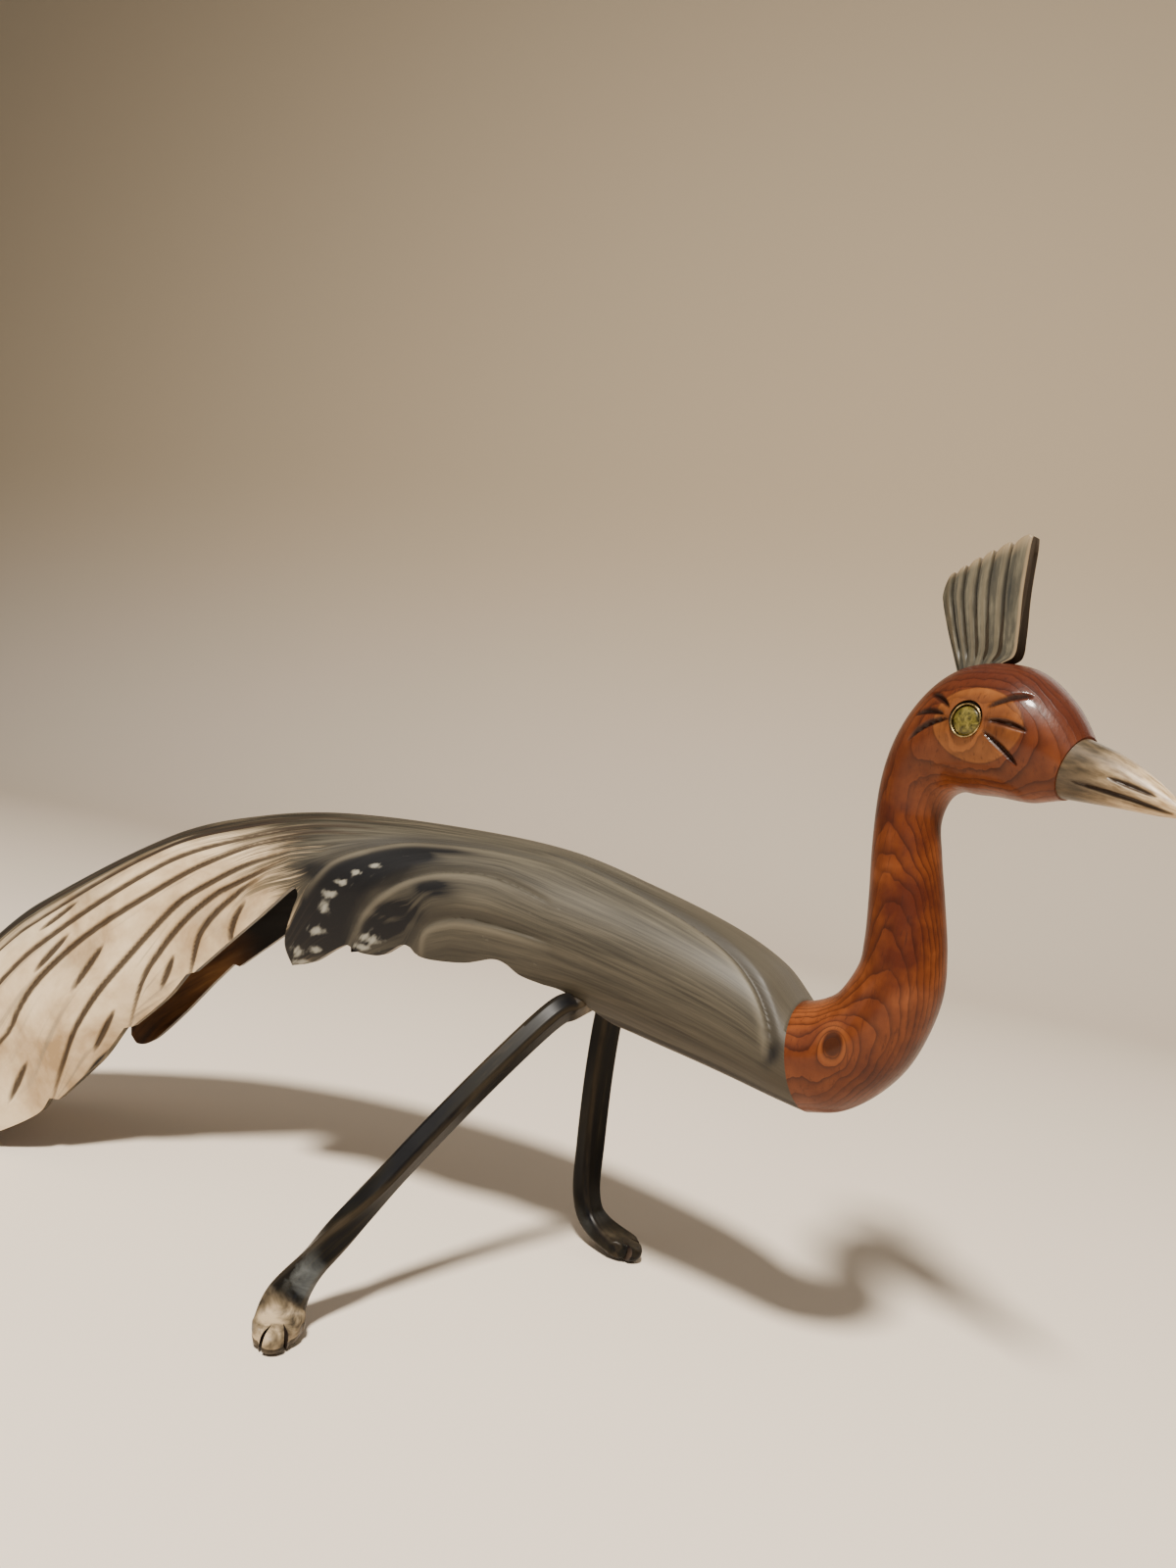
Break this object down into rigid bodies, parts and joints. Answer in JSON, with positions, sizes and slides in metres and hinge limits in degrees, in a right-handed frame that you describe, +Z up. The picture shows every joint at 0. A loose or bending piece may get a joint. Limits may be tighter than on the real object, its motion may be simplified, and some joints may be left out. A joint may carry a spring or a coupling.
{
  "type": "wooden peacock figurine",
  "caption": "Carved horn and wood bird figurine with a long arched tail, a curved wooden neck and head, a fan crest and two bent legs, standing on its feet and tail",
  "frame": {"origin": "Under the middle of the bounding box, on the surface the figurine stands on", "axes": "+X from the tail to the beak, +Y towards the bird's left side, +Z up"},
  "size_m": [0.3968, 0.1332, 0.236],
  "materials": {
    "body_horn": "polished grey horn, marbled cream and near black",
    "red_wood": "varnished red-brown wood with a satin gloss",
    "cream_horn": "polished cream horn, grey-green at the base",
    "crest_horn": "polished grey-green horn with cream edges",
    "eye_brass": "worn brass",
    "eye_bead": "glossy olive bead",
    "black_horn": "polished black horn, clouded grey at the feet"
  },
  "bodies": {
    "root": {"horn_body": "body_horn", "wood_neck_and_head": "red_wood", "horn_beak": "cream_horn", "horn_crest": "crest_horn", "right_eye_ring": "eye_brass", "left_eye_ring": "eye_brass", "right_eye_bead": "eye_bead", "left_eye_bead": "eye_bead", "right_leg": "black_horn", "left_leg": "black_horn"}
  },
  "joints": []
}
